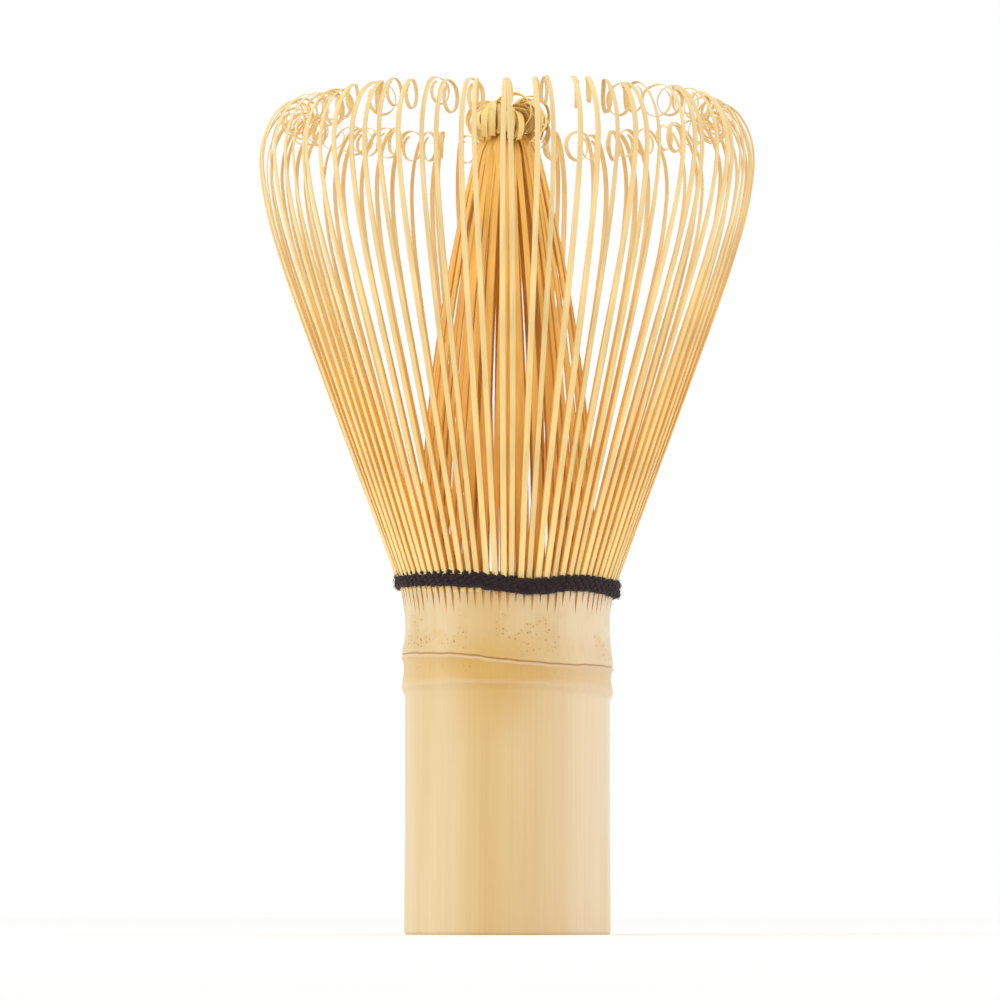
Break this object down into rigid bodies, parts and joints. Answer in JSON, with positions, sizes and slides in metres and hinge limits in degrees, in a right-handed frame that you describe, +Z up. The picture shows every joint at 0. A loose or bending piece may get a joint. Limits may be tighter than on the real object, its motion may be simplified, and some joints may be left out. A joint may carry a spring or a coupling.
{
  "type": "bamboo tea whisk",
  "caption": "Upright bamboo tea whisk: hollow culm handle, thread-bound comb, flared outer tines with curled tips and a gathered inner core.",
  "frame": {"origin": "centre of the flat cut end of the handle", "axes": "+Z up along the handle towards the tine tips; -Y towards the viewer"},
  "size_m": [0.0622, 0.0622, 0.1049],
  "materials": {
    "culm_skin": "smooth satin bamboo skin",
    "node_pith": "dry matte bamboo pith",
    "cotton_thread": "dyed cotton thread, soft and fuzzy",
    "tine_skin": "split bamboo, pale skin outside and amber flesh inside",
    "tine_flesh": "shaved bamboo flesh, warm amber"
  },
  "bodies": {
    "culm": {"handle": "culm_skin", "node_wall": "node_pith", "binding_thread": "cotton_thread"},
    "outer_row_01": {"outer_tines_01": "tine_skin"},
    "outer_row_02": {"outer_tines_02": "tine_skin"},
    "outer_row_03": {"outer_tines_03": "tine_skin"},
    "outer_row_04": {"outer_tines_04": "tine_skin"},
    "outer_row_05": {"outer_tines_05": "tine_skin"},
    "outer_row_06": {"outer_tines_06": "tine_skin"},
    "outer_row_07": {"outer_tines_07": "tine_skin"},
    "outer_row_08": {"outer_tines_08": "tine_skin"},
    "outer_row_09": {"outer_tines_09": "tine_skin"},
    "outer_row_10": {"outer_tines_10": "tine_skin"},
    "outer_row_11": {"outer_tines_11": "tine_skin"},
    "outer_row_12": {"outer_tines_12": "tine_skin"},
    "outer_row_13": {"outer_tines_13": "tine_skin"},
    "outer_row_14": {"outer_tines_14": "tine_skin"},
    "outer_row_15": {"outer_tines_15": "tine_skin"},
    "outer_row_16": {"outer_tines_16": "tine_skin"},
    "inner_core": {"inner_tines_01": "tine_flesh", "inner_tines_02": "tine_flesh", "inner_tines_03": "tine_flesh", "inner_tines_04": "tine_flesh", "inner_tines_05": "tine_flesh", "inner_tines_06": "tine_flesh", "inner_tines_07": "tine_flesh", "inner_tines_08": "tine_flesh"}
  },
  "joints": [
    {"name": "outer_row_01_flex", "type": "hinge", "parent": "culm", "child": "outer_row_01", "pos_m": [0.01388, 0.00276, 0.04595], "axis": [-0.1951, 0.9808, 0], "range_deg": [-3, 4], "stiffness_Nm_per_rad": 0.01},
    {"name": "outer_row_02_flex", "type": "hinge", "parent": "culm", "child": "outer_row_02", "pos_m": [0.01177, 0.00786, 0.04595], "axis": [-0.5556, 0.8315, 0], "range_deg": [-3, 4], "stiffness_Nm_per_rad": 0.01},
    {"name": "outer_row_03_flex", "type": "hinge", "parent": "culm", "child": "outer_row_03", "pos_m": [0.00786, 0.01177, 0.04595], "axis": [-0.8315, 0.5556, 0], "range_deg": [-3, 4], "stiffness_Nm_per_rad": 0.01},
    {"name": "outer_row_04_flex", "type": "hinge", "parent": "culm", "child": "outer_row_04", "pos_m": [0.00276, 0.01388, 0.04595], "axis": [-0.9808, 0.1951, 0], "range_deg": [-3, 4], "stiffness_Nm_per_rad": 0.01},
    {"name": "outer_row_05_flex", "type": "hinge", "parent": "culm", "child": "outer_row_05", "pos_m": [-0.00276, 0.01388, 0.04595], "axis": [-0.9808, -0.1951, 0], "range_deg": [-3, 4], "stiffness_Nm_per_rad": 0.01},
    {"name": "outer_row_06_flex", "type": "hinge", "parent": "culm", "child": "outer_row_06", "pos_m": [-0.00786, 0.01177, 0.04595], "axis": [-0.8315, -0.5556, 0], "range_deg": [-3, 4], "stiffness_Nm_per_rad": 0.01},
    {"name": "outer_row_07_flex", "type": "hinge", "parent": "culm", "child": "outer_row_07", "pos_m": [-0.01177, 0.00786, 0.04595], "axis": [-0.5556, -0.8315, 0], "range_deg": [-3, 4], "stiffness_Nm_per_rad": 0.01},
    {"name": "outer_row_08_flex", "type": "hinge", "parent": "culm", "child": "outer_row_08", "pos_m": [-0.01388, 0.00276, 0.04595], "axis": [-0.1951, -0.9808, 0], "range_deg": [-3, 4], "stiffness_Nm_per_rad": 0.01},
    {"name": "outer_row_09_flex", "type": "hinge", "parent": "culm", "child": "outer_row_09", "pos_m": [-0.01388, -0.00276, 0.04595], "axis": [0.1951, -0.9808, 0], "range_deg": [-3, 4], "stiffness_Nm_per_rad": 0.01},
    {"name": "outer_row_10_flex", "type": "hinge", "parent": "culm", "child": "outer_row_10", "pos_m": [-0.01177, -0.00786, 0.04595], "axis": [0.5556, -0.8315, 0], "range_deg": [-3, 4], "stiffness_Nm_per_rad": 0.01},
    {"name": "outer_row_11_flex", "type": "hinge", "parent": "culm", "child": "outer_row_11", "pos_m": [-0.00786, -0.01177, 0.04595], "axis": [0.8315, -0.5556, 0], "range_deg": [-3, 4], "stiffness_Nm_per_rad": 0.01},
    {"name": "outer_row_12_flex", "type": "hinge", "parent": "culm", "child": "outer_row_12", "pos_m": [-0.00276, -0.01388, 0.04595], "axis": [0.9808, -0.1951, 0], "range_deg": [-3, 4], "stiffness_Nm_per_rad": 0.01},
    {"name": "outer_row_13_flex", "type": "hinge", "parent": "culm", "child": "outer_row_13", "pos_m": [0.00276, -0.01388, 0.04595], "axis": [0.9808, 0.1951, 0], "range_deg": [-3, 4], "stiffness_Nm_per_rad": 0.01},
    {"name": "outer_row_14_flex", "type": "hinge", "parent": "culm", "child": "outer_row_14", "pos_m": [0.00786, -0.01177, 0.04595], "axis": [0.8315, 0.5556, 0], "range_deg": [-3, 4], "stiffness_Nm_per_rad": 0.01},
    {"name": "outer_row_15_flex", "type": "hinge", "parent": "culm", "child": "outer_row_15", "pos_m": [0.01177, -0.00786, 0.04595], "axis": [0.5556, 0.8315, 0], "range_deg": [-3, 4], "stiffness_Nm_per_rad": 0.01},
    {"name": "outer_row_16_flex", "type": "hinge", "parent": "culm", "child": "outer_row_16", "pos_m": [0.01388, -0.00276, 0.04595], "axis": [0.1951, 0.9808, 0], "range_deg": [-3, 4], "stiffness_Nm_per_rad": 0.01},
    {"name": "inner_core_sway", "type": "hinge", "parent": "culm", "child": "inner_core", "pos_m": [0, 0, 0.04595], "axis": [0, 1, 0], "range_deg": [-3, 3], "stiffness_Nm_per_rad": 0.02}
  ]
}
